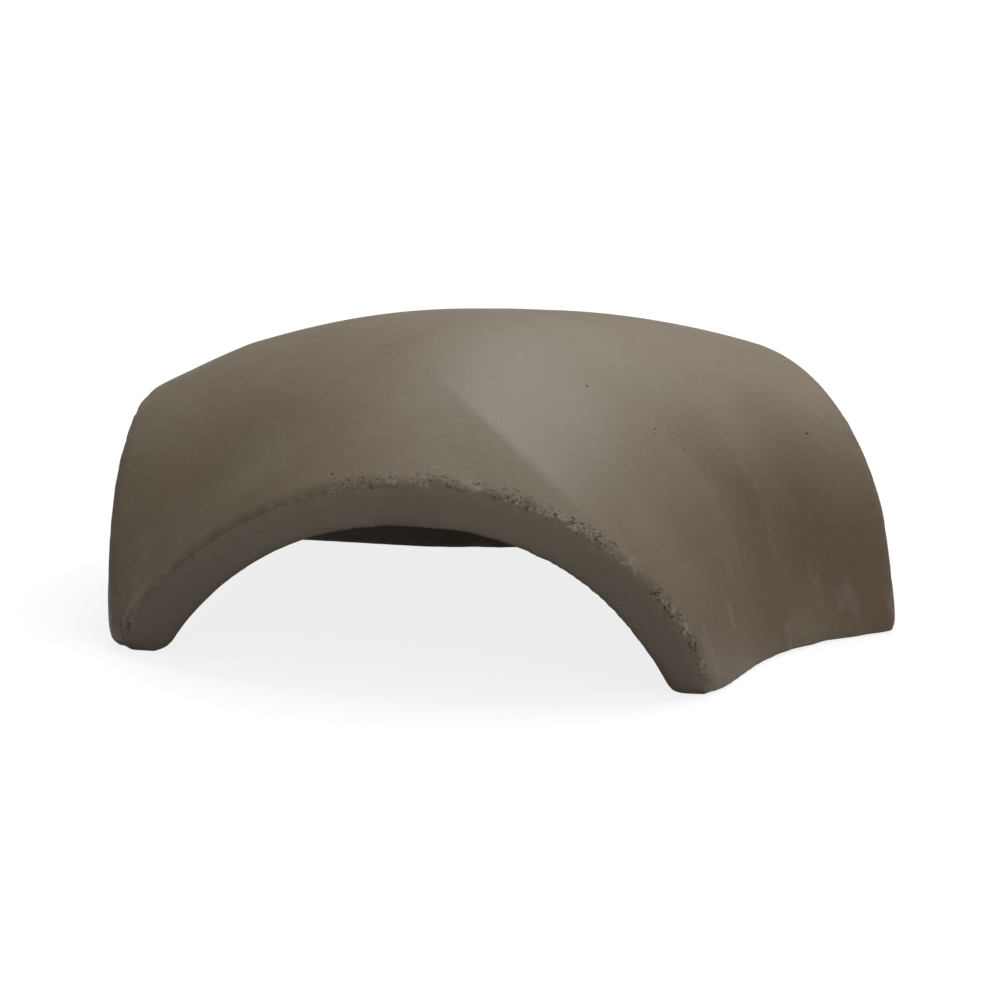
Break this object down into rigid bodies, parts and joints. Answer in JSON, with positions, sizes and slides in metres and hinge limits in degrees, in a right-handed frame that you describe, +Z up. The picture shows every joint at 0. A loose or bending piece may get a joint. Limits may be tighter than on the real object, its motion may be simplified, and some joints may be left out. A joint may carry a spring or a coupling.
{
  "type": "three-way ridge tile",
  "caption": "Domed concrete roof tile whose arched arms cover the point where a ridge line meets the hips of a roof.",
  "frame": {"origin": "point on the floor, under the apex, where the axes of the ridge arm and the hip arms meet", "axes": "+Z up, +X along the ridge arm towards its open end, and the hip arms run back on either side of -X"},
  "size_m": [0.338, 0.359, 0.132],
  "materials": {
    "concrete": "smooth coated face, rough cut ends"
  },
  "bodies": {
    "root": {"ridge_tile": "concrete"}
  },
  "joints": []
}
